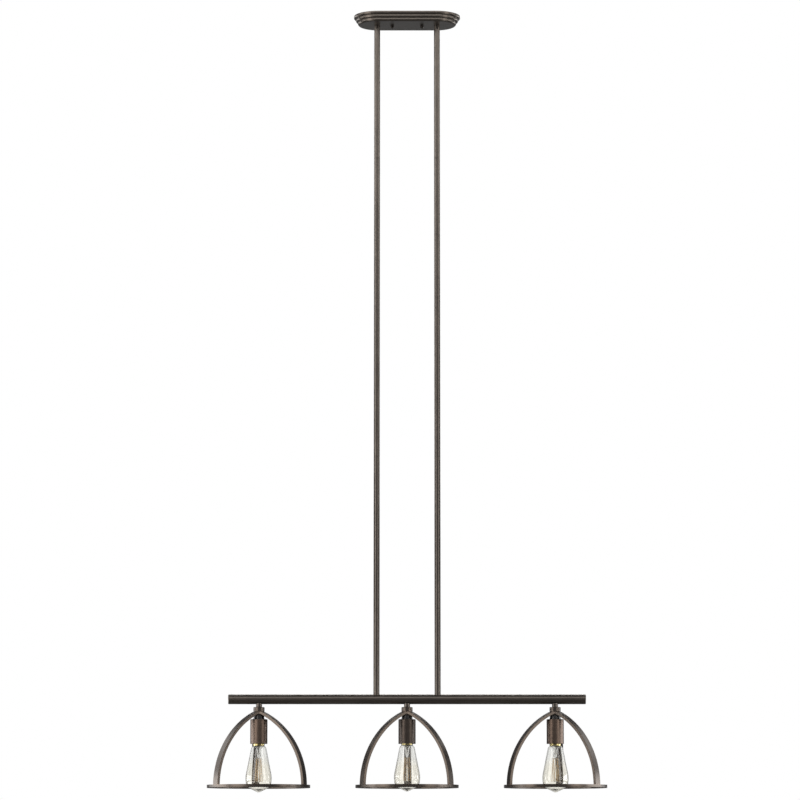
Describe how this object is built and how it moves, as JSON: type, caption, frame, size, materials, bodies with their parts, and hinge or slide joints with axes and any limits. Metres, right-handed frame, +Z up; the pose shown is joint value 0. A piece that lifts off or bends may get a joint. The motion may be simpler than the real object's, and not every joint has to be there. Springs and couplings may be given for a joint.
{
  "type": "linear island pendant",
  "caption": "Linear island pendant: a stepped canopy, two down rods, a round crossbar and open strap cages around bare pear-shaped bulbs.",
  "frame": {"origin": "centre of the mounting strap's top face, on the ceiling, between the two box screw slots", "axes": "+Z up towards the ceiling, +X along the crossbar, -Y the front seen in the picture"},
  "size_m": [0.914, 0.2362, 1.8152],
  "materials": {
    "bronze": "satin oil-rubbed bronze with worn edges",
    "black": "semi-gloss black",
    "zinc": "zinc plated steel",
    "brass": "polished brass",
    "screw_green": "green anodised",
    "insulator": "moulded phenolic, matt black",
    "glass": "clear, faintly warm",
    "filament": "tungsten wire on a clear glass stem",
    "wire_black": "vinyl insulation",
    "wire_white": "vinyl insulation",
    "wire_green": "vinyl insulation",
    "connector": "ribbed nylon"
  },
  "bodies": {
    "fixture": {"canopy": "bronze", "mounting_strap": "zinc", "strap_studs": "zinc", "stud_lock_nuts": "zinc", "canopy_cap_nuts": "bronze", "ground_screw": "screw_green", "rod_nipples": "zinc", "rod_washers": "zinc", "rod_lock_nuts": "zinc", "crossbar_tube": "bronze", "crossbar_cap_left": "bronze", "crossbar_cap_right": "bronze", "crossbar_slugs": "zinc", "lamp_stems": "bronze", "lamp_nipples": "zinc", "socket_lock_nuts": "zinc", "socket_screw_shells": "brass", "socket_contacts": "brass", "leads_black": "wire_black", "leads_white": "wire_white", "ground_lead": "wire_green", "wire_connectors": "connector", "rod_left_1": "bronze", "rod_left_2": "bronze", "rod_left_3": "bronze", "rod_left_4": "bronze", "rod_left_5": "bronze", "rod_right_1": "bronze", "rod_right_2": "bronze", "rod_right_3": "bronze", "rod_right_4": "bronze", "rod_right_5": "bronze", "socket_neck_left": "black", "socket_cup_left": "bronze", "socket_body_left": "insulator", "socket_neck_middle": "black", "socket_cup_middle": "bronze", "socket_body_middle": "insulator", "socket_neck_right": "black", "socket_cup_right": "bronze", "socket_body_right": "insulator"},
    "cage_left": {"cage_hub_left": "bronze", "cage_arms_left": "bronze", "cage_ring_left": "bronze"},
    "cage_middle": {"cage_hub_middle": "bronze", "cage_arms_middle": "bronze", "cage_ring_middle": "bronze"},
    "cage_right": {"cage_hub_right": "bronze", "cage_arms_right": "bronze", "cage_ring_right": "bronze"},
    "bulb_left": {"bulb_base_left": "brass", "bulb_glass_left": "glass", "bulb_filament_left": "filament"},
    "bulb_middle": {"bulb_base_middle": "brass", "bulb_glass_middle": "glass", "bulb_filament_middle": "filament"},
    "bulb_right": {"bulb_base_right": "brass", "bulb_glass_right": "glass", "bulb_filament_right": "filament"}
  },
  "joints": [
    {"name": "cage_left_turn", "type": "hinge", "parent": "fixture", "child": "cage_left", "pos_m": [-0.339, 0, -1.63], "axis": [0, 0, 1], "continuous": true},
    {"name": "cage_middle_turn", "type": "hinge", "parent": "fixture", "child": "cage_middle", "pos_m": [0, 0, -1.63], "axis": [0, 0, 1], "continuous": true},
    {"name": "cage_right_turn", "type": "hinge", "parent": "fixture", "child": "cage_right", "pos_m": [0.339, 0, -1.63], "axis": [0, 0, 1], "continuous": true},
    {"name": "bulb_left_out", "type": "slide", "parent": "fixture", "child": "bulb_left", "axis": [0, 0, -1], "range_m": [0, 0.135]},
    {"name": "bulb_middle_out", "type": "slide", "parent": "fixture", "child": "bulb_middle", "axis": [0, 0, -1], "range_m": [0, 0.135]},
    {"name": "bulb_right_out", "type": "slide", "parent": "fixture", "child": "bulb_right", "axis": [0, 0, -1], "range_m": [0, 0.135]}
  ]
}
